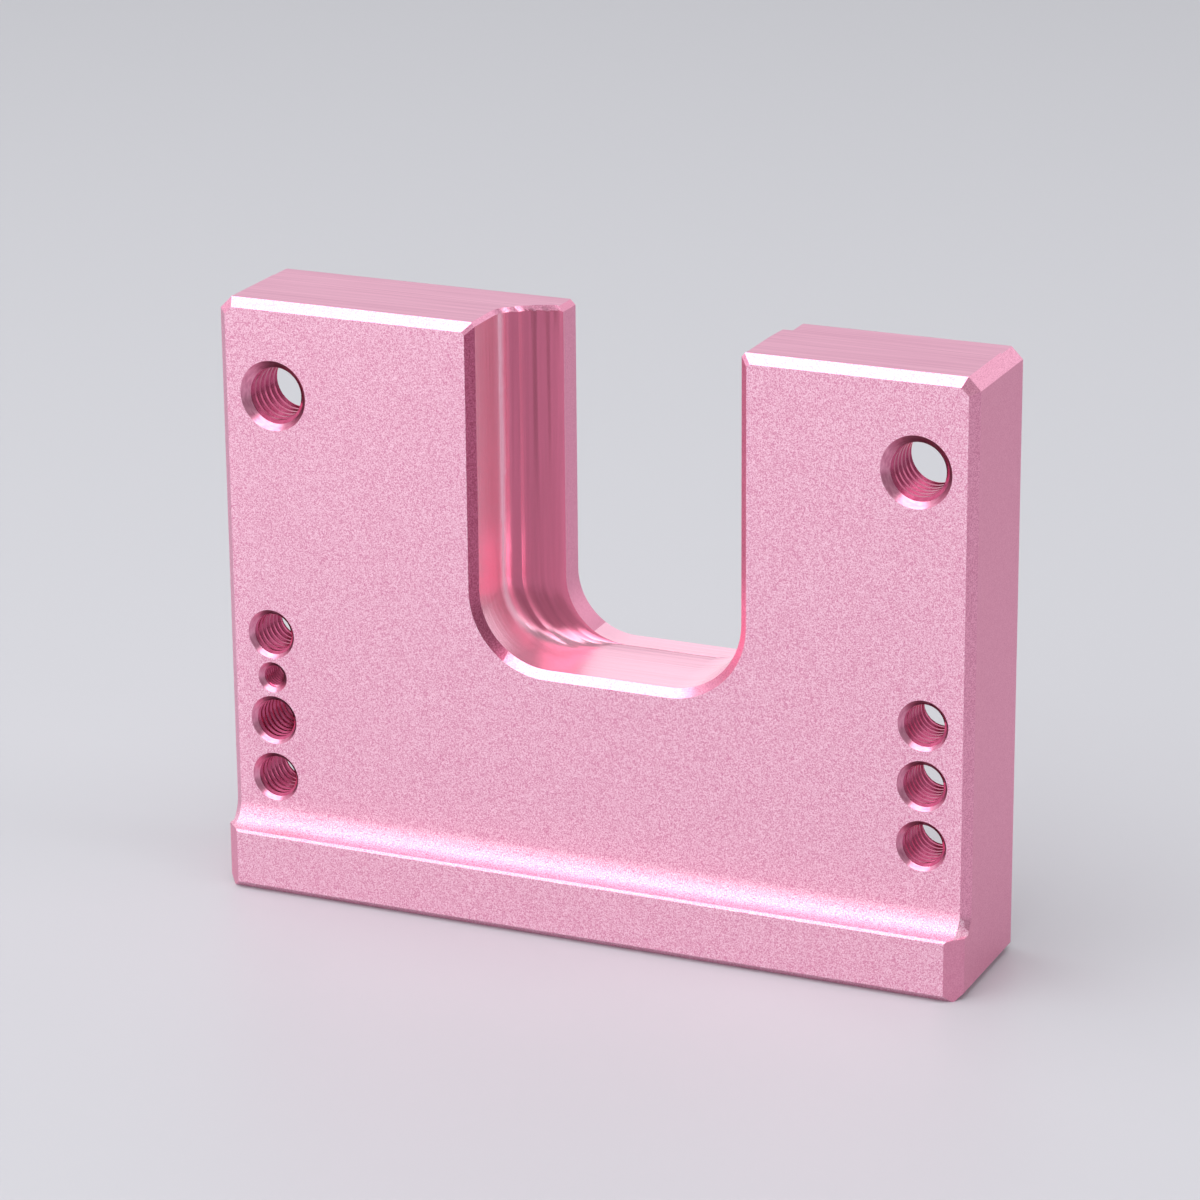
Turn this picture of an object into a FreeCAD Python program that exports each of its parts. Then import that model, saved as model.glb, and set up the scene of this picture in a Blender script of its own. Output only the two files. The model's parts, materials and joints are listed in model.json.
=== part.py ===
import FreeCAD, Part
import math
import os

# Slotted mounting plate, milled from one billet of aluminium, in millimetres.
# It stands on its foot. +X runs along the plate, +Y from its front face to its back, +Z up.
# The origin is on the underside, midway along the plate and midway between foot front and back.

# ---- driving dimensions ----

# plate
LENGTH = 100.0
HEIGHT = 77.5
THICKNESS = 16.5
FRONT_BEVEL = 1.1
BACK_BEVEL = 0.5
TOP_CORNER = 1.6
BACK_STRIP_DROP = 0.15

# foot, which reaches forward of the front face
FOOT_REACH = 3.2
FOOT_HEIGHT = 8.0
FOOT_CORNER = 2.0
FOOT_EDGE = 0.3
UNDERSIDE_BEVEL = 0.9

# slot, open at the top: its front half, then a scalloped step to a narrower back half
SLOT_WIDTH = 35.0
LEFT_POST = 35.0
SLOT_FLOOR = 34.0
SLOT_RADIUS = 9.3
SLOT_BEVEL = 1.0
SLOT_TOP_BEVEL = 0.5
WALL_DEPTH = 6.6
CUTTER_RADIUS = 3.3
LIP_REACH = 6.7
LIP_DEPTH = 4.2
LIP_RADIUS = 8.0
LIP_TOP_BEVEL = 0.8
LIP_RISE = 0.5
RIGHT_RELIEF = 1.2
SCALLOP_CREASES = [(0, 0), (0.28, 0.53), (0.52, 0.75), (0.73, 0.88), (1, 1)]
SCALLOP_SECTIONS = 5

# countersunk screw threads, drilled to their core size, through the web that the reliefs leave
WEB = 8.2
LARGE_CORE = 6.8
LARGE_SINK = 9.0
MEDIUM_CORE = 5.0
MEDIUM_SINK = 6.4
SMALL_CORE = 2.5
SMALL_SINK = 4.0
BACK_SINK = 0.4
LARGE_INSET = 7.5
LARGE_DROP = 12.0
COLUMN_INSET = 6.2
COLUMN_TOP = 34.0
COLUMN_PITCH = 7.7
SMALL_STEP = 0.75
MIDDLE_STEP = 1.5
LOWEST_STEP = 2.5
RIGHT_ROWS = 3

# reliefs milled from behind: a closed pocket at the right, two steps open at the left end
RELIEF_INSET = 15.2
RELIEF_SIDE_WALL = 3.2
RELIEF_BELOW = 6.0
RELIEF_ABOVE = 6.0
RELIEF_RADIUS = 4.0
RELIEF_BEVEL = 0.4
RIB_HEIGHT = 7.6

# ---- places worked out from them ----

FRONT = (FOOT_REACH - THICKNESS) / 2
BACK = FRONT + THICKNESS
FOOT_FRONT = FRONT - FOOT_REACH
LEFT_END = -LENGTH / 2
RIGHT_END = LENGTH / 2
COVE_RADIUS = FOOT_REACH - FOOT_EDGE
COVE_TOP = FOOT_HEIGHT + COVE_RADIUS
SLOT_LEFT = LEFT_END + LEFT_POST
SLOT_RIGHT = SLOT_LEFT + SLOT_WIDTH
LIP_FRONT = BACK - LIP_DEPTH
WALL_END = FRONT + WALL_DEPTH
SMALL_Z = COLUMN_TOP - SMALL_STEP * COLUMN_PITCH
MIDDLE_Z = COLUMN_TOP - MIDDLE_STEP * COLUMN_PITCH
LOWEST_Z = COLUMN_TOP - LOWEST_STEP * COLUMN_PITCH

# how far a cutter runs out past a face, and past the top of the slot
CLEAR = 1.0
BEYOND = 5.0


# ---- shapes that several features use ----

def prism(corners, along):
    """Extrudes a flat polygon of points by a vector."""
    return Part.Face(Part.makePolygon(corners + corners[:1])).extrude(along)


def edges_at(shape, axis, value):
    """The edges that lie wholly at one value of x, y or z."""
    def is_at(edge):
        return all(abs(getattr(v.Point, axis) - value) < 1e-6 for v in edge.Vertexes)
    return [edge for edge in shape.Edges if is_at(edge)]


def flared(start, end):
    """A straight-sided solid from one wire to another."""
    return Part.makeLoft([start, end], True, True)


# ---- outer body ----

def plate():
    """The upright slab, its two top corners cut at 45 degrees, bevelled round its front and back.

    It starts halfway up the foot, which alone shapes the underside.
    """
    outline = [
        (LEFT_END, FOOT_HEIGHT / 2),
        (RIGHT_END, FOOT_HEIGHT / 2),
        (RIGHT_END, HEIGHT - TOP_CORNER),
        (RIGHT_END - TOP_CORNER, HEIGHT),
        (LEFT_END + TOP_CORNER, HEIGHT),
        (LEFT_END, HEIGHT - TOP_CORNER),
    ]
    corners = [FreeCAD.Vector(x, FRONT, z) for x, z in outline]
    slab = prism(corners, FreeCAD.Vector(0, THICKNESS, 0))
    slab = slab.makeChamfer(FRONT_BEVEL, edges_at(slab, "y", FRONT))
    return slab.makeChamfer(BACK_BEVEL, edges_at(slab, "y", BACK))


def foot_plan():
    """The foot seen from above: bevelled round its underside, then cut at its four upright corners."""
    base = Part.makeBox(LENGTH, BACK - FOOT_FRONT, COVE_TOP, FreeCAD.Vector(LEFT_END, FOOT_FRONT, 0))
    base = base.makeChamfer(UNDERSIDE_BEVEL, edges_at(base, "z", 0))
    plan = [
        (LEFT_END + BACK_BEVEL, BACK),
        (LEFT_END, BACK - BACK_BEVEL),
        (LEFT_END, FOOT_FRONT + FOOT_CORNER),
        (LEFT_END + FOOT_CORNER, FOOT_FRONT),
        (RIGHT_END - FOOT_CORNER, FOOT_FRONT),
        (RIGHT_END, FOOT_FRONT + FOOT_CORNER),
        (RIGHT_END, BACK - BACK_BEVEL),
        (RIGHT_END - BACK_BEVEL, BACK),
    ]
    corners = [FreeCAD.Vector(x, y, 0) for x, y in plan]
    return base.common(prism(corners, FreeCAD.Vector(0, 0, COVE_TOP)))


def foot_section():
    """The foot seen from its end: a low step with a hollow quarter-round up to the front face."""
    def at(y, z):
        return FreeCAD.Vector(LEFT_END, y, z)
    arc_middle = COVE_RADIUS * math.sqrt(0.5)
    axis_z = COVE_TOP
    axis_y = FRONT - COVE_RADIUS
    cove = Part.Arc(
        at(axis_y, FOOT_HEIGHT),
        at(axis_y + arc_middle, axis_z - arc_middle),
        at(FRONT, COVE_TOP),
    ).toShape()
    low = Part.makePolygon([
        at(FRONT, COVE_TOP),
        at(BACK, COVE_TOP),
        at(BACK, 0),
        at(FOOT_FRONT, 0),
        at(FOOT_FRONT, FOOT_HEIGHT - FOOT_EDGE),
        at(axis_y, FOOT_HEIGHT),
    ])
    face = Part.Face(Part.Wire([cove] + low.Edges))
    return face.extrude(FreeCAD.Vector(LENGTH, 0, 0))


def cove_end(x, direction):
    """The bevel that carries the front face's end bevel round the hollow and down to the foot."""
    start = FreeCAD.Vector(x - direction * FRONT_BEVEL, FRONT - COVE_RADIUS, COVE_TOP)
    cone = Part.makeCone(
        COVE_RADIUS, COVE_RADIUS + FRONT_BEVEL, FRONT_BEVEL,
        start, FreeCAD.Vector(direction, 0, 0),
    )
    reach = COVE_RADIUS + FRONT_BEVEL
    keep = Part.makeBox(
        2 * FRONT_BEVEL, reach + FRONT_BEVEL, COVE_RADIUS,
        FreeCAD.Vector(x - FRONT_BEVEL, FRONT - reach, FOOT_HEIGHT),
    )
    return cone.common(keep)


def foot():
    body = foot_section().common(foot_plan())
    body = body.cut(cove_end(LEFT_END, -1))
    return body.cut(cove_end(RIGHT_END, 1))


def back_strip():
    """A second setup left the back strip of the top face a hair lower than the rest."""
    corner = FreeCAD.Vector(LEFT_END, LIP_FRONT, HEIGHT - BACK_STRIP_DROP)
    return Part.makeBox(LENGTH, LIP_DEPTH, BACK_STRIP_DROP, corner)


# ---- slot ----

def slot_wire(y, left, right, floor, radius, top_bevel):
    """One cross-section of the slot: a U with round lower corners, flared at the top face."""
    def at(x, z):
        return FreeCAD.Vector(x, y, z)
    mid = radius * (1 - math.sqrt(0.5))
    flare = top_bevel + BEYOND
    left_arc = Part.Arc(at(left, floor + radius), at(left + mid, floor + mid), at(left + radius, floor))
    right_arc = Part.Arc(at(right - radius, floor), at(right - mid, floor + mid), at(right, floor + radius))
    down = [
        at(left - flare, HEIGHT + BEYOND),
        at(left, HEIGHT - top_bevel),
        at(left, floor + radius),
    ]
    up = [
        at(right, floor + radius),
        at(right, HEIGHT - top_bevel),
        at(right + flare, HEIGHT + BEYOND),
        at(left - flare, HEIGHT + BEYOND),
    ]
    edges = Part.makePolygon(down).Edges
    edges.append(left_arc.toShape())
    edges.append(Part.makeLine(at(left + radius, floor), at(right - radius, floor)))
    edges.append(right_arc.toShape())
    edges += Part.makePolygon(up).Edges
    return Part.Wire(edges)


def front_slot(y, grow):
    return slot_wire(
        y, SLOT_LEFT - grow, SLOT_RIGHT + grow, SLOT_FLOOR - grow,
        SLOT_RADIUS + grow, SLOT_TOP_BEVEL + grow,
    )


def back_slot(y, grow):
    return slot_wire(
        y, SLOT_LEFT + LIP_REACH - grow, SLOT_RIGHT + RIGHT_RELIEF + grow,
        SLOT_FLOOR + LIP_RISE - grow, LIP_RADIUS + grow, LIP_TOP_BEVEL,
    )


def scallop_passes():
    """The plan of the left wall's step: hollow passes of one ball cutter, meeting in creases.

    Each pass is an arc of points (distance in from the wall, y). It never turns back past the
    line of the wall or of the lip's front.
    """
    depth = LIP_FRONT - WALL_END
    creases = [(x * LIP_REACH, WALL_END + y * depth) for x, y in SCALLOP_CREASES]
    passes = []
    for start, end in zip(creases, creases[1:]):
        across = end[0] - start[0]
        inward = end[1] - start[1]
        chord = math.hypot(across, inward)
        heading = math.atan2(inward, across)
        sweep = math.asin(min(chord / 2 / CUTTER_RADIUS, 1))
        sweep = min(sweep, math.pi / 2 - heading, 0.9 * heading)
        radius = chord / 2 / math.sin(sweep)
        first = heading + sweep
        points = []
        for i in range(SCALLOP_SECTIONS):
            turn = first - 2 * sweep * i / (SCALLOP_SECTIONS - 1)
            x = start[0] + radius * (math.sin(first) - math.sin(turn))
            y = start[1] + radius * (math.cos(turn) - math.cos(first))
            points.append((x, y))
        passes.append(points)
    return passes


def scallop_wire(point):
    """The slot's cross-section where the left wall has come in by the point's x."""
    offset, y = point
    share = offset / LIP_REACH
    return slot_wire(
        y, SLOT_LEFT + offset, SLOT_RIGHT, SLOT_FLOOR + share * LIP_RISE,
        SLOT_RADIUS + share * (LIP_RADIUS - SLOT_RADIUS),
        SLOT_TOP_BEVEL + share * (LIP_TOP_BEVEL - SLOT_TOP_BEVEL),
    )


def slot():
    """Everything that is milled out between the posts, from front to back."""
    front_bevel = FRONT + SLOT_BEVEL
    rear_bevel = BACK - BACK_BEVEL
    cuts = [
        flared(front_slot(FRONT - CLEAR, SLOT_BEVEL + CLEAR), front_slot(front_bevel, 0)),
        Part.Face(front_slot(front_bevel, 0)).extrude(FreeCAD.Vector(0, WALL_END - front_bevel, 0)),
    ]
    for points in scallop_passes():
        cuts.append(Part.makeLoft([scallop_wire(p) for p in points], True, False))
    cuts.append(Part.Face(back_slot(LIP_FRONT, 0)).extrude(FreeCAD.Vector(0, rear_bevel - LIP_FRONT, 0)))
    cuts.append(flared(back_slot(rear_bevel, 0), back_slot(BACK + CLEAR, BACK_BEVEL + CLEAR)))
    return cuts


# ---- reliefs and threads ----

def rounded(y, left, right, low, high, radius):
    """A wire round an upright rectangle with round corners, at depth y."""
    def at(x, z):
        return FreeCAD.Vector(x, y, z)
    mid = radius * (1 - math.sqrt(0.5))
    arcs = [
        (at(right, high - radius), at(right - mid, high - mid), at(right - radius, high)),
        (at(left + radius, high), at(left + mid, high - mid), at(left, high - radius)),
        (at(left, low + radius), at(left + mid, low + mid), at(left + radius, low)),
        (at(right - radius, low), at(right - mid, low + mid), at(right, low + radius)),
    ]
    edges = []
    for arc, following in zip(arcs, arcs[1:] + arcs[:1]):
        edges.append(Part.Arc(*arc).toShape())
        edges.append(Part.makeLine(arc[2], following[0]))
    return Part.Wire(edges)


def relief(left, right, low, high):
    """A step milled from behind as far as the web, with its rim at the back broken."""
    floor = FRONT + WEB
    rim = BACK - RELIEF_BEVEL
    grow = RELIEF_BEVEL + CLEAR
    well = Part.Face(rounded(floor, left, right, low, high, RELIEF_RADIUS))
    mouth = flared(
        rounded(rim, left, right, low, high, RELIEF_RADIUS),
        rounded(BACK + CLEAR, left - grow, right + grow, low - grow, high + grow, RELIEF_RADIUS + grow),
    )
    return [well.extrude(FreeCAD.Vector(0, rim - floor, 0)), mouth]


def reliefs():
    """The steps behind the threads, with a rib left standing behind the left column's third one."""
    low = LOWEST_Z - RELIEF_BELOW
    high = HEIGHT - LARGE_DROP + RELIEF_ABOVE
    open_end = LEFT_END - RELIEF_RADIUS
    inner = LEFT_END + RELIEF_INSET
    steps = relief(open_end, inner, low, MIDDLE_Z - RIB_HEIGHT / 2)
    steps += relief(open_end, inner, MIDDLE_Z + RIB_HEIGHT / 2, high)
    steps += relief(RIGHT_END - RELIEF_INSET, RIGHT_END - RELIEF_SIDE_WALL, low, high)
    return steps


def tapped_hole(x, z, core, sink, length):
    """A thread's core hole of one length, countersunk at 90 degrees in front and broken behind."""
    inward = FreeCAD.Vector(0, 1, 0)
    start = FreeCAD.Vector(x, FRONT - CLEAR, z)
    depth = (sink - core) / 2
    back_sink = FreeCAD.Vector(x, FRONT + length - BACK_SINK, z)
    return [
        Part.makeCylinder(core / 2, length + 2 * CLEAR, start, inward),
        Part.makeCone(sink / 2 + CLEAR, core / 2, depth + CLEAR, start, inward),
        Part.makeCone(core / 2, core / 2 + BACK_SINK + CLEAR, BACK_SINK + CLEAR, back_sink, inward),
    ]


def tapped_holes():
    """Every thread: two large ones high up, and a column of smaller ones in each post."""
    left = LEFT_END + COLUMN_INSET
    right = RIGHT_END - COLUMN_INSET
    large = (LARGE_CORE, LARGE_SINK, WEB)
    medium = (MEDIUM_CORE, MEDIUM_SINK, WEB)
    cuts = tapped_hole(LEFT_END + LARGE_INSET, HEIGHT - LARGE_DROP, *large)
    cuts += tapped_hole(RIGHT_END - LARGE_INSET, HEIGHT - LARGE_DROP, *large)
    cuts += tapped_hole(left, COLUMN_TOP, *medium)
    cuts += tapped_hole(left, SMALL_Z, SMALL_CORE, SMALL_SINK, WEB)
    cuts += tapped_hole(left, MIDDLE_Z, MEDIUM_CORE, MEDIUM_SINK, THICKNESS)
    cuts += tapped_hole(left, LOWEST_Z, *medium)
    for row in range(RIGHT_ROWS):
        cuts += tapped_hole(right, COLUMN_TOP - row * COLUMN_PITCH, *medium)
    return cuts


# ---- the whole part ----

def u_slot_plate():
    body = plate().fuse(foot())
    body = body.cut(back_strip())
    for tool in slot() + reliefs() + tapped_holes():
        body = body.cut(tool)
    return body.removeSplitter()


os.makedirs("parts", exist_ok=True)
solid = u_slot_plate()
solid.exportStep("parts/u_slot_plate.step")
print("solids", len(solid.Solids), "valid", solid.isValid(), "volume", round(solid.Volume, 1), "mm3")
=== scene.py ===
# %% [markdown]
# # A slotted mounting plate in anodised aluminium
#
# The part is one piece, milled from a billet: an upright plate with a slot open at the top, threads
# in both posts, and a foot along its lower front edge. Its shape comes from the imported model. This
# lesson cuts the screw threads into it and gives each face the finish that its own tool left.

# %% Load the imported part
import json
import math
import bpy
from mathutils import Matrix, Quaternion, Vector


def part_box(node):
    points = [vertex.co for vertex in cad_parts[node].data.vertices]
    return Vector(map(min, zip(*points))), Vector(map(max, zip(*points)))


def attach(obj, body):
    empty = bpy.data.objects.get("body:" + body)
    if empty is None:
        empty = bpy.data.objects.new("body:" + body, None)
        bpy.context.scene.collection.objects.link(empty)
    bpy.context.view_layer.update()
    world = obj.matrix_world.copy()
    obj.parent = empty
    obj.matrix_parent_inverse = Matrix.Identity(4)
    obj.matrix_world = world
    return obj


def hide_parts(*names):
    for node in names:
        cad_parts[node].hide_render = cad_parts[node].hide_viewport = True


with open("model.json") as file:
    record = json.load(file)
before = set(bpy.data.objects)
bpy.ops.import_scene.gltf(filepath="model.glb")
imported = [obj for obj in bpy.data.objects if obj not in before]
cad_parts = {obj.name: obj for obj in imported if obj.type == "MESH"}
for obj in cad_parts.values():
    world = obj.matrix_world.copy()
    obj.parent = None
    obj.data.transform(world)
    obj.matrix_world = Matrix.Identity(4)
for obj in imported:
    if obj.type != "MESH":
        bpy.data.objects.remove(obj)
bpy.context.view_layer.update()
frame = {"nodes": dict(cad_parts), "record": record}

NODE = "u_slot_plate"
MM = 0.001

# %% [markdown]
# Every size of the plate is in millimetres and is multiplied by MM where Blender needs metres. The
# studio round it is in metres. The front and back planes of the plate, its ends and its height are
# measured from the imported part, so that a finish always lands on the face that it belongs to.

# %% Planes of the part, measured
low, high = (Vector(corner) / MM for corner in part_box(NODE))
mounts = {mount["name"]: mount for mount in frame["record"]["mounts"]}
FRONT = mounts["front_face"]["pos_m"][1] / MM
BACK = high.y
END = high.x
TOP = high.z
FOOT_FRONT = low.y
print("front face at y =", round(FRONT, 3), "mm, back face at y =", round(BACK, 3), "mm")

# %% [markdown]
# Colours are written as sRGB hex values, as a paint chart gives them, and one function turns them
# into the linear values that the shader counts in. One more function adds a node to a material,
# sets it and links it, so that a recipe below reads from top to bottom.

# %% Helpers for colours, nodes and selection
SRGB_TOE = 0.04045
SRGB_TOE_SLOPE = 12.92
SRGB_OFFSET = 0.055
SRGB_POWER = 2.4


def linear(hex_colour):
    """An sRGB hex colour as linear red, green, blue and alpha."""
    shares = [int(hex_colour[i:i + 2], 16) / 255 for i in (1, 3, 5)]
    curve = [
        s / SRGB_TOE_SLOPE if s <= SRGB_TOE else ((s + SRGB_OFFSET) / (1 + SRGB_OFFSET)) ** SRGB_POWER
        for s in shares
    ]
    return (*curve, 1.0)


def add(tree, kind, inputs=None, **settings):
    """Adds a node, sets it, and links or fills its inputs."""
    node = tree.nodes.new(kind)
    for name, value in settings.items():
        setattr(node, name, value)
    for name, value in (inputs or {}).items():
        if isinstance(value, bpy.types.NodeSocket):
            tree.links.new(value, node.inputs[name])
        else:
            node.inputs[name].default_value = value
    return node


def select_only(piece):
    """Makes one object the only selected one, and the active one."""
    if bpy.context.object and bpy.context.object.mode != "OBJECT":
        bpy.ops.object.mode_set(mode="OBJECT")
    bpy.ops.object.select_all(action="DESELECT")
    piece.select_set(True)
    bpy.context.view_layer.objects.active = piece


# %% [markdown]
# ## Finishes
#
# All faces have the same rose anodising: a clear oxide layer that holds the dye, grown on bare
# aluminium. It shines like metal but throws back only pink. What differs is the surface under it,
# and painted shade in the holes, on the slot's step and on one slot chamfer.
# Blasting with glass beads leaves fine round dents, which scatter light evenly and sparkle a
# little. A milling cutter leaves fine lines along its path. So each finish is one shader, metallic
# and fairly rough, with a pattern that has the size of the real tool mark. A pattern is a noise
# whose height both tints the metal and presses dents into it.

# %% Start a metal, tint it and press its pattern in
MIX_FIRST, MIX_SECOND, MIXED_COLOUR = 6, 7, 2
PATTERN_LOW, PATTERN_HIGH = 0.3, 0.7


def start_metal(name, roughness):
    """A new material with a metallic shader, and the object's own coordinates in millimetres."""
    material = bpy.data.materials.new(name)
    material.use_nodes = True
    tree = material.node_tree
    shader = tree.nodes["Principled BSDF"]
    shader.inputs["Metallic"].default_value = 1.0
    shader.inputs["Roughness"].default_value = roughness
    place = add(tree, "ShaderNodeTexCoord").outputs["Object"]
    in_mm = add(tree, "ShaderNodeVectorMath", {0: place, "Scale": 1 / MM}, operation="SCALE")
    return material, tree, shader, in_mm.outputs["Vector"]


def tinted(tree, height, dark, light):
    """A colour that runs from dark to light with the height of the surface's pattern."""
    share = add(tree, "ShaderNodeMapRange", {
        "Value": height, "From Min": PATTERN_LOW, "From Max": PATTERN_HIGH,
    })
    return add(tree, "ShaderNodeMix", {
        0: share.outputs["Result"], MIX_FIRST: linear(dark), MIX_SECOND: linear(light),
    }, data_type="RGBA").outputs[MIXED_COLOUR]


def give_surface(tree, shader, colour, height, depth):
    """Gives the shader its colour, and dents as deep as this many millimetres."""
    dents = add(tree, "ShaderNodeBump", {"Height": height, "Distance": depth * MM, "Strength": 1.0})
    tree.links.new(colour, shader.inputs["Base Color"])
    tree.links.new(dents.outputs["Normal"], shader.inputs["Normal"])


# %% [markdown]
# Real glass beads leave dents of about a tenth of a millimetre. They are drawn half as large again,
# so that they show. Most of the plate is blasted, with a coarse bead where it is broad, and the
# same recipe with shallower dents serves the fine faces and the chamfers.

# %% A bead-blasted finish
GRAIN = 0.15
GRAIN_DETAIL = 1.0
GRAIN_ROUGHNESS = 0.5


def blasted(name, dark, light, roughness, depth):
    """Bead-blasted anodised aluminium, its dents this many millimetres deep."""
    material, tree, shader, place = start_metal(name, roughness)
    beads = add(tree, "ShaderNodeTexNoise", {
        "Vector": place, "Scale": 1 / GRAIN, "Detail": GRAIN_DETAIL, "Roughness": GRAIN_ROUGHNESS,
    }).outputs["Fac"]
    give_surface(tree, shader, tinted(tree, beads, dark, light), beads, depth)
    return material


# %% [markdown]
# A milling cutter's lines run long one way and change fast the other way. So the noise is stretched:
# three numbers say how often it changes per millimetre along X, Y and Z. Real lines are some
# hundredths of a millimetre apart. They are drawn about a third of a millimetre apart, so that
# they show.

# %% A milled finish
LINE_DETAIL = 3.0
LINE_ROUGHNESS = 0.65


def milled_lines(tree, place, stretch):
    """The height of fine lines along a cutter's path."""
    along = add(tree, "ShaderNodeMapping", {"Vector": place, "Scale": stretch}).outputs["Vector"]
    return add(tree, "ShaderNodeTexNoise", {
        "Vector": along, "Scale": 1.0, "Detail": LINE_DETAIL, "Roughness": LINE_ROUGHNESS,
    }).outputs["Fac"]


def milled(name, dark, light, roughness, depth, stretch):
    """Milled anodised aluminium, its lines this many millimetres deep."""
    material, tree, shader, place = start_metal(name, roughness)
    lines = milled_lines(tree, place, stretch)
    give_surface(tree, shader, tinted(tree, lines, dark, light), lines, depth)
    return material


# %% [markdown]
# Three cuts made the slot: the cutter's end left its floor, its flank the walls, and the ball cutter
# the hollow step. Floor and walls take almost one shade. The step is painted darker: painted shade,
# for the dim side of the studio that it faces. They meet in round corners without an edge, so one
# material holds all three shades, and the way that the surface faces says how much of each it has.
# The whole slot is satin, so its shader is a little less than metallic.

# %% The slot's own milled finish
SATIN_METAL = 0.75
FLOOR_FROM, FLOOR_FULLY = 0.1, 0.7
STEP_SHADE_FROM, STEP_SHADE_FULLY = -0.3, -0.75
STREAK_DARKEST, STREAK_LIGHTEST = 0.88, 1.1


def contoured(name, wall, floor, step_painted_shade, roughness, depth, stretch):
    """Milled aluminium round the slot: lines along it, a shade each for wall and floor, and painted shade
    on the step.
    """
    material, tree, shader, place = start_metal(name, roughness)
    shader.inputs["Metallic"].default_value = SATIN_METAL
    lines = milled_lines(tree, place, stretch)
    facing = add(tree, "ShaderNodeSeparateXYZ", {0: add(tree, "ShaderNodeNewGeometry").outputs["Normal"]})
    upward = add(tree, "ShaderNodeMapRange", {
        "Value": facing.outputs["Z"], "From Min": FLOOR_FROM, "From Max": FLOOR_FULLY,
    }, interpolation_type="SMOOTHSTEP")
    forward_shade = add(tree, "ShaderNodeMapRange", {
        "Value": facing.outputs["Y"], "From Min": STEP_SHADE_FROM, "From Max": STEP_SHADE_FULLY,
    }, interpolation_type="SMOOTHSTEP")
    by_end = add(tree, "ShaderNodeMix", {
        0: upward.outputs["Result"], MIX_FIRST: linear(wall), MIX_SECOND: linear(floor),
    }, data_type="RGBA").outputs[MIXED_COLOUR]
    # Painted shade: faces that look forward, as the hollow step does, are tinted darker.
    with_step_shade = add(tree, "ShaderNodeMix", {
        0: forward_shade.outputs["Result"], MIX_FIRST: by_end, MIX_SECOND: linear(step_painted_shade),
    }, data_type="RGBA").outputs[MIXED_COLOUR]
    share = add(tree, "ShaderNodeMapRange", {
        "Value": lines, "From Min": PATTERN_LOW, "From Max": PATTERN_HIGH,
        "To Min": STREAK_DARKEST, "To Max": STREAK_LIGHTEST,
    })
    streaked = add(tree, "ShaderNodeHueSaturation", {"Value": share.outputs["Result"], "Color": with_step_shade})
    give_surface(tree, shader, streaked.outputs["Color"], lines, depth)
    return material


# %% [markdown]
# Each recipe is now used for the faces of one tool. A rougher surface shows a softer light. Inside
# the holes the colour is painted a shade deeper: painted shade.

# %% The finishes of this plate
ACROSS_TOP = (0.04, 3.0, 1.0)
ACROSS_SLOT = (0.03, 3.5, 0.03)
ROUND_BORES = (1.0, 4.0, 1.0)

finishes = {
    # Broad faces, blasted with a coarse bead: even and pale, with a fine sparkle.
    "blasted": blasted("bead_blasted_anodised_aluminium", "#DD89AC", "#FFDAE9", 0.55, 0.018),
    # Top of both posts, face milled along X: fine lines with a soft sheen.
    "top": milled("face_milled_anodised_aluminium", "#CF87A5", "#E8A6BF", 0.34, 0.004, ACROSS_TOP),
    # Slot, milled along its outline: glossy, with the clearest lines of all, and painted shade on its
    # step.
    "slot": contoured(
        "contour_milled_aluminium_with_painted_shade", "#FFC6D8", "#FFC4D8", "#D0718E", 0.24, 0.016, ACROSS_SLOT,
    ),
    # Chamfer down the slot's front edge, still rough from the cutter: grainy, and painted dark as shade
    # where it faces right.
    "shaded_slot_bevel": blasted("chamfered_slot_edge_painted_shade", "#A84A69", "#D67A9B", 0.35, 0.012),
    # Ends of the plate, the lip and the foot's corners, blasted with a fine bead: plain and satin.
    "end": blasted("fine_blasted_anodised_aluminium", "#E592B0", "#F3A9C4", 0.45, 0.004),
    # All other chamfers, cut last: smoother than the faces, so they flash white under the lamp.
    "bevel": blasted("chamfered_anodised_aluminium", "#DF88A8", "#FFB7D2", 0.30, 0.014),
    # Countersinks, turned with a countersinking tool: faint rings and a bright lower half, their colour a
    # little darker as painted shade.
    "countersunk": milled(
        "countersunk_aluminium_with_painted_shade", "#D27C9B", "#F2A8C3", 0.30, 0.002, ROUND_BORES,
    ),
    # Threads, cut by a tap: deep pink with painted shade, darker than the faces, and bright crests.
    "tapped": milled("tapped_aluminium_with_painted_shade", "#B4466B", "#D0668A", 0.22, 0.002, ROUND_BORES),
}
print("finishes:", ", ".join(material.name for material in finishes.values()))

# %% [markdown]
# ## The plate
#
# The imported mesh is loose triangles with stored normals. A copy of it drops those normals and is
# merged into one skin, and flat neighbours are dissolved into whole faces, so that each edge left is
# an edge of the real part.

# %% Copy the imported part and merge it
WELD_WITHIN = 0.001
FLAT_WITHIN = math.radians(0.3)


def merged_copy(node, name):
    """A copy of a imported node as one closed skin, with flat neighbours joined."""
    source = frame["nodes"][node]
    copy = bpy.data.objects.new(name, source.data.copy())
    bpy.context.collection.objects.link(copy)
    select_only(copy)
    bpy.ops.mesh.customdata_custom_splitnormals_clear()
    bpy.ops.object.mode_set(mode="EDIT")
    bpy.ops.mesh.select_all(action="SELECT")
    bpy.ops.mesh.remove_doubles(threshold=WELD_WITHIN * MM)
    bpy.ops.mesh.dissolve_limited(angle_limit=FLAT_WITHIN)
    bpy.ops.object.mode_set(mode="OBJECT")
    return copy


plate = merged_copy(NODE, "anodised_plate")
plate.data.materials.clear()
for material in finishes.values():
    plate.data.materials.append(material)
print("plate:", len(plate.data.polygons), "faces")

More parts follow.
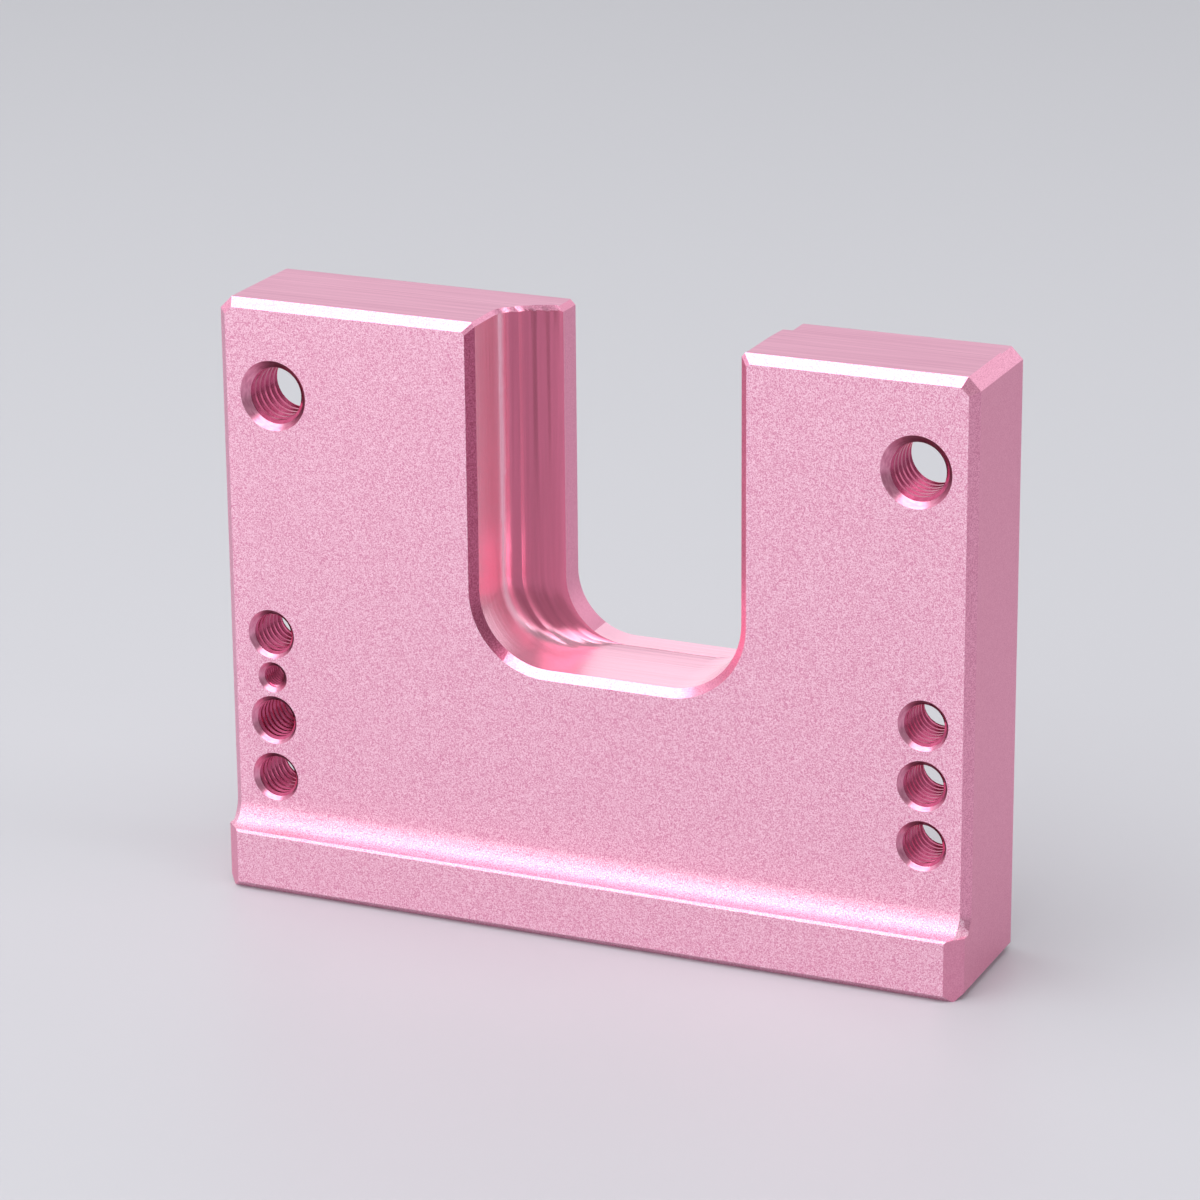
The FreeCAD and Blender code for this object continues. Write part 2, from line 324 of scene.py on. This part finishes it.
# %% [markdown]
# ## Screw threads
#
# A tap cuts a V-shaped groove that winds down the drilled hole. The groove is modelled as a tap
# would be: the V's outline is swept round the hole's axis and along it by the Screw modifier, and
# the result is taken out of the plate. Its size follows from the drilled hole, because a core hole
# is the thread's outer diameter less one pitch.

# %% The groove of a thread
COARSE_PITCHES = {8.0: 1.25, 6.0: 1.0, 3.0: 0.5}
V_HALF_ANGLE = math.radians(30)
FLAT_OF_PITCH = 1 / 8
UNDERCUT = 0.1
STEPS_PER_TURN = 48


def v_outline(inner_radius, depth, mouth, flat):
    """The groove's section as a closed outline: wide at the bore, narrow at its bottom."""
    middle = (inner_radius + depth / 2) * MM
    bpy.ops.object.select_all(action="DESELECT")
    bpy.ops.mesh.primitive_plane_add(size=1, location=(middle, 0, 0))
    groove = bpy.context.object
    groove.scale = (depth * MM, mouth * MM, 1)
    bpy.ops.object.transform_apply(location=True, rotation=False, scale=True)
    bpy.ops.object.mode_set(mode="EDIT")
    bpy.ops.mesh.delete(type="ONLY_FACE")
    bpy.ops.mesh.select_all(action="DESELECT")
    bpy.ops.object.mode_set(mode="OBJECT")
    for vertex in groove.data.vertices:
        vertex.select = vertex.co.x > middle
    bpy.ops.object.mode_set(mode="EDIT")
    bpy.ops.transform.resize(value=(1, flat / mouth, 1))
    bpy.ops.object.mode_set(mode="OBJECT")
    return groove


def tap(core_radius, length):
    """The solid that a tap takes away beyond the drilled hole, on the Y axis."""
    outer = min(COARSE_PITCHES, key=lambda size: abs(size - COARSE_PITCHES[size] - 2 * core_radius))
    pitch = COARSE_PITCHES[outer]
    inner_radius = core_radius - UNDERCUT
    depth = outer / 2 - inner_radius
    flat = pitch * FLAT_OF_PITCH
    groove = v_outline(inner_radius, depth, flat + 2 * depth * math.tan(V_HALF_ANGLE), flat)
    winding = groove.modifiers.new("winding", "SCREW")
    winding.axis = "Y"
    winding.steps = STEPS_PER_TURN
    winding.render_steps = STEPS_PER_TURN
    winding.screw_offset = pitch * MM
    winding.iterations = math.ceil(length / pitch)
    bpy.ops.object.modifier_apply(modifier=winding.name)
    bpy.ops.object.mode_set(mode="EDIT")
    bpy.ops.mesh.select_all(action="SELECT")
    bpy.ops.mesh.fill_holes(sides=4)
    bpy.ops.mesh.select_all(action="SELECT")
    bpy.ops.mesh.normals_make_consistent(inside=False)
    bpy.ops.object.mode_set(mode="OBJECT")
    groove.data.materials.append(finishes["tapped"])
    return groove


# %% [markdown]
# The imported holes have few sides, which a bright metal would give away. So each hole is skimmed
# first with a round cutter of many sides that is a hair larger: a cone for the countersink and a
# straight one for the bore. A countersink is a right angle wide, so the cone's radius grows by as
# much as its depth. A cutter hands its own finish to the faces that it leaves.

# %% Round cutters, and how to cut
FINE_SIDES = 96
ALONG_Y = (math.radians(-90), 0, 0)


def turned_cutter(x, z, start, length, front_radius, back_radius, finish):
    """A round cutter, straight or tapered, that points along Y. x and z are in metres."""
    bpy.ops.object.select_all(action="DESELECT")
    bpy.ops.mesh.primitive_cone_add(
        vertices=FINE_SIDES, radius1=front_radius * MM, radius2=back_radius * MM, depth=length * MM,
        location=(x, (start + length / 2) * MM, z), rotation=ALONG_Y,
    )
    cutter = bpy.context.object
    bpy.ops.object.transform_apply(location=True, rotation=True, scale=True)
    cutter.data.materials.append(finishes[finish])
    return cutter


def cut(body, cutter):
    """Takes the cutter out of the body, and the cutter away."""
    select_only(body)
    difference = body.modifiers.new("cut", "BOOLEAN")
    difference.operation = "DIFFERENCE"
    difference.solver = "MANIFOLD"
    difference.object = cutter
    difference.material_mode = "TRANSFER"
    bpy.ops.object.modifier_apply(modifier=difference.name)
    bpy.data.objects.remove(cutter)


# %% Skim every hole and tap it
RUN_OUT = 0.6
TAP_BEYOND = 2.0
SKIM = 0.02

threads = [mount for mount in mounts.values() if mount["kind"] == "threaded_hole"]
taps = {}
for mount in threads:
    x, y, z = mount["pos_m"]
    radius = mount["dims"]["r_mm"]
    wall = mount["dims"]["length_mm"]
    sink_depth = y / MM - wall / 2 - FRONT
    fine = radius + SKIM
    cut(plate, turned_cutter(
        x, z, FRONT - RUN_OUT, sink_depth + RUN_OUT, fine + sink_depth + RUN_OUT, fine, "countersunk",
    ))
    cut(plate, turned_cutter(x, z, FRONT - RUN_OUT, wall + sink_depth + 2 * RUN_OUT, fine, fine, "tapped"))
    if radius not in taps:
        taps[radius] = tap(radius, wall + 2 * RUN_OUT + TAP_BEYOND)
    groove = bpy.data.objects.new("groove", taps[radius].data.copy())
    bpy.context.collection.objects.link(groove)
    select_only(groove)
    groove.location = (x, (FRONT - RUN_OUT) * MM, z)
    bpy.ops.object.transform_apply(location=True, rotation=False, scale=False)
    cut(plate, groove)
for pattern in taps.values():
    bpy.data.objects.remove(pattern)
print("threads cut:", len(threads), "- plate now has", len(plate.data.polygons), "faces")

# %% [markdown]
# ## A finish for every face
#
# The tool that made a face also gave it its finish: the broad faces were blasted, the top was face
# milled along X, the slot's walls were milled along its outline, and the chamfers were cut last.
# So each face is sorted by where it is, in millimetres, and by which way it looks: a direction
# counts as straight, half straight, sideways or upright by its share along that axis.

# %% Which tool cut a face
SLOT_ZONE = (-17.5, 23.0)
SLOT_LOWEST = 32.5
SLOT_BEVEL = 1.0
LIP_FRONT = BACK - 4.2
RELIEF_ZONE = 34.5
END_BAND = 2.0
TOP_BAND = 1.0
TOP_RIM = 0.5
FACE_SKIN = 0.1
BORE_WALL = 0.1
COUNTERSINK_REACH = 1.2
STRAIGHT = 0.999
HALF_STRAIGHT = 0.5
SIDEWAYS = 0.4
UPRIGHT = 0.1


def near_thread(centre, beyond):
    """Whether a place in mm is in a thread's bore, or this many millimetres beyond its wall."""
    for mount in threads:
        x, y, z = mount["pos_m"]
        away = math.hypot(centre.x - x / MM, centre.z - z / MM)
        along = abs(centre.y - y / MM)
        if away < mount["dims"]["r_mm"] + beyond and along < mount["dims"]["length_mm"] / 2 + beyond:
            return True
    return False


def slot_tool_for(centre, normal):
    """The finish of a face of the slot, or None for a face of the plate beside it."""
    if FRONT < centre.y < FRONT + SLOT_BEVEL and normal.y < -HALF_STRAIGHT:
        # Painted shade: the slot chamfer's faces that look right get the dark colour.
        shaded_left_edge = normal.x > SIDEWAYS and centre.z < TOP - TOP_BAND
        return "shaded_slot_bevel" if shaded_left_edge else "bevel"
    if centre.y > LIP_FRONT and normal.x > HALF_STRAIGHT and normal.y > -HALF_STRAIGHT:
        return "end"
    if centre.y > FRONT + SLOT_BEVEL and normal.y < STRAIGHT and centre.z < TOP - TOP_RIM:
        return "slot"
    return None


def plate_tool_for(centre, normal):
    """The finish of a face outside the slot and the threads."""
    square = max(abs(normal.x), abs(normal.y), abs(normal.z)) > STRAIGHT
    on_foot = FOOT_FRONT < centre.y < FRONT
    if square and normal.z > 0 and centre.z > TOP - TOP_BAND:
        return "top"
    if abs(normal.x) > STRAIGHT:
        return "end"
    if on_foot and abs(normal.x) > HALF_STRAIGHT and abs(normal.z) < UPRIGHT:
        return "end"
    if square or on_foot:
        return "blasted"
    in_relief = RELIEF_ZONE < abs(centre.x) < END - END_BAND and centre.y > 0
    return "slot" if in_relief else "bevel"


def tool_for(centre, normal):
    """The finish of a face, from its centre in mm and its outward direction."""
    if near_thread(centre, BORE_WALL):
        return "tapped"
    if near_thread(centre, COUNTERSINK_REACH) and abs(normal.y) < STRAIGHT:
        return "countersunk"
    if normal.y < -STRAIGHT and centre.y < FRONT + FACE_SKIN:
        return "blasted"
    if SLOT_ZONE[0] < centre.x < SLOT_ZONE[1] and centre.z > SLOT_LOWEST:
        return slot_tool_for(centre, normal) or plate_tool_for(centre, normal)
    return plate_tool_for(centre, normal)


# %% [markdown]
# The real edges of this plate turn by more than twenty degrees, and the flats that stand for a
# round surface turn by less. So that angle parts the edges that stay sharp from the smooth ones.

# %% Finish every face
SMOOTH_WITHIN = math.radians(20)

order = list(finishes)
tapped = order.index("tapped")
for face in plate.data.polygons:
    if face.material_index != tapped:
        face.material_index = order.index(tool_for(face.center / MM, face.normal))
select_only(plate)
bpy.ops.object.shade_smooth_by_angle(angle=SMOOTH_WITHIN)
for number, finish in enumerate(order):
    faces = sum(face.material_index == number for face in plate.data.polygons)
    print(finish, faces, "faces")

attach(plate, "root")
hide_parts(NODE)

# %% [markdown]
# ## Floor, light and camera
#
# The plate stands in a plain studio. Metal shows what it faces, so each lamp is placed for the faces
# that look at it. The large softbox overhead is what the upward chamfers and the hollow of the foot
# show as white. One in front lifts the blasted front face, and a small one high on the right lights
# the right end and the walls that face it. The floor is what the rest of the front face shows.

# %% Floor
FLOOR_RADIUS = 6.0
FLOOR_SIDES = 96
FLOOR_ROUGHNESS = 0.5

# Pale matt paint: it takes soft shadows and a faint pink glow from the plate.
floor_paint = bpy.data.materials.new("pale_matt_paint")
floor_paint.use_nodes = True
paint = floor_paint.node_tree.nodes["Principled BSDF"]
paint.inputs["Base Color"].default_value = linear("#B9B9BE")
paint.inputs["Roughness"].default_value = FLOOR_ROUGHNESS
bpy.ops.object.select_all(action="DESELECT")
bpy.ops.mesh.primitive_circle_add(
    vertices=FLOOR_SIDES, radius=FLOOR_RADIUS, fill_type="NGON", location=(0, 0, 0),
)
floor = bpy.context.object
floor.name = "floor"
floor.data.materials.append(floor_paint)
print("floor:", FLOOR_RADIUS, "m in radius")

# %% Lamps
PLATE_FOOT = (0.0, 0.0, 0.0)
PLATE_MIDDLE = (0.0, 0.0, 0.04)


def softbox(name, place, aim, width, depth, brightness):
    """A rectangular lamp that faces a point, in metres. Brightness is what a mirror would show."""
    lamp = bpy.data.lights.new(name, "AREA")
    lamp.shape = "RECTANGLE"
    lamp.size = width
    lamp.size_y = depth
    lamp.energy = brightness * width * depth * math.pi
    box = bpy.data.objects.new(name, lamp)
    bpy.context.collection.objects.link(box)
    box.location = place
    box.rotation_euler = (Vector(aim) - Vector(place)).to_track_quat("-Z", "Y").to_euler()
    print(name, "gives", round(lamp.energy, 1), "W")


softbox("overhead_softbox", (-0.15, -0.35, 1.15), PLATE_FOOT, 1.5, 1.2, 3.0)
softbox("front_softbox", (-0.9, -1.7, 0.45), PLATE_MIDDLE, 1.4, 0.8, 1.7)
softbox("right_softbox", (0.85, 0.05, 0.85), PLATE_FOOT, 0.5, 0.5, 3.0)

# %% [markdown]
# The walls of the studio give an even light near the horizon, which fades towards the dark ceiling.
# On the right in front it is dimmer, so that faces that look there, such as the slot's step, turn
# dark. The world does all this with two soft ramps over the direction that a ray looks in.

# %% World
HORIZON_LIGHT = 1.15
CEILING_LIGHT = 0.2
FADES_FROM = math.radians(30)
FADES_TO = math.radians(55)
DIM_SIDE = (0.87, -0.5, 0.0)
DIM_SHARE = 0.35
DIM_FULLY = 0.9

world = bpy.data.worlds.new("studio")
bpy.context.scene.world = world
world.use_nodes = True
sky = world.node_tree
direction = add(sky, "ShaderNodeTexCoord").outputs["Generated"]
height = add(sky, "ShaderNodeSeparateXYZ", {0: direction}).outputs["Z"]
level = add(sky, "ShaderNodeMapRange", {
    "Value": height, "From Min": math.sin(FADES_FROM), "From Max": math.sin(FADES_TO),
    "To Min": HORIZON_LIGHT, "To Max": CEILING_LIGHT,
}, interpolation_type="SMOOTHSTEP").outputs["Result"]
toward_dim = add(sky, "ShaderNodeVectorMath", {
    0: direction, 1: DIM_SIDE,
}, operation="DOT_PRODUCT").outputs["Value"]
dimming = add(sky, "ShaderNodeMapRange", {
    "Value": toward_dim, "From Min": 0.0, "From Max": DIM_FULLY, "To Min": 1.0, "To Max": DIM_SHARE,
}, interpolation_type="SMOOTHSTEP").outputs["Result"]
strength = add(sky, "ShaderNodeMath", {0: level, 1: dimming}, operation="MULTIPLY").outputs["Value"]
surround = sky.nodes["Background"]
surround.inputs["Color"].default_value = linear("#F4F5F8")
sky.links.new(strength, surround.inputs["Strength"])
print("world:", HORIZON_LIGHT, "at the horizon,", CEILING_LIGHT, "overhead")

# %% [markdown]
# A long lens from half a metre away keeps the plate's uprights almost upright. The camera stands to
# the right and a little above, and leans by half a degree.

# %% Camera
AZIMUTH = math.radians(24.0)
ELEVATION = math.radians(18.68)
TILT = math.radians(-0.5)
LENS = 139.75
DISTANCE = 577.28
INTO_PLATE = 7.5
NEAREST = 0.01
TARGET = Vector((-1.55, FRONT + INTO_PLATE, 41.69))

outward = Vector((
    math.sin(AZIMUTH) * math.cos(ELEVATION),
    -math.cos(AZIMUTH) * math.cos(ELEVATION),
    math.sin(ELEVATION),
))
camera = bpy.data.objects.new("camera", bpy.data.cameras.new("camera"))
bpy.context.collection.objects.link(camera)
camera.data.lens = LENS
camera.data.clip_start = NEAREST
camera.location = (TARGET + DISTANCE * outward) * MM
camera.rotation_mode = "QUATERNION"
camera.rotation_quaternion = (-outward).to_track_quat("-Z", "Y") @ Quaternion((0, 0, 1), TILT)
bpy.context.scene.camera = camera
bpy.context.scene.view_settings.view_transform = "Standard"
print("camera at", [round(value, 3) for value in camera.location], "m")
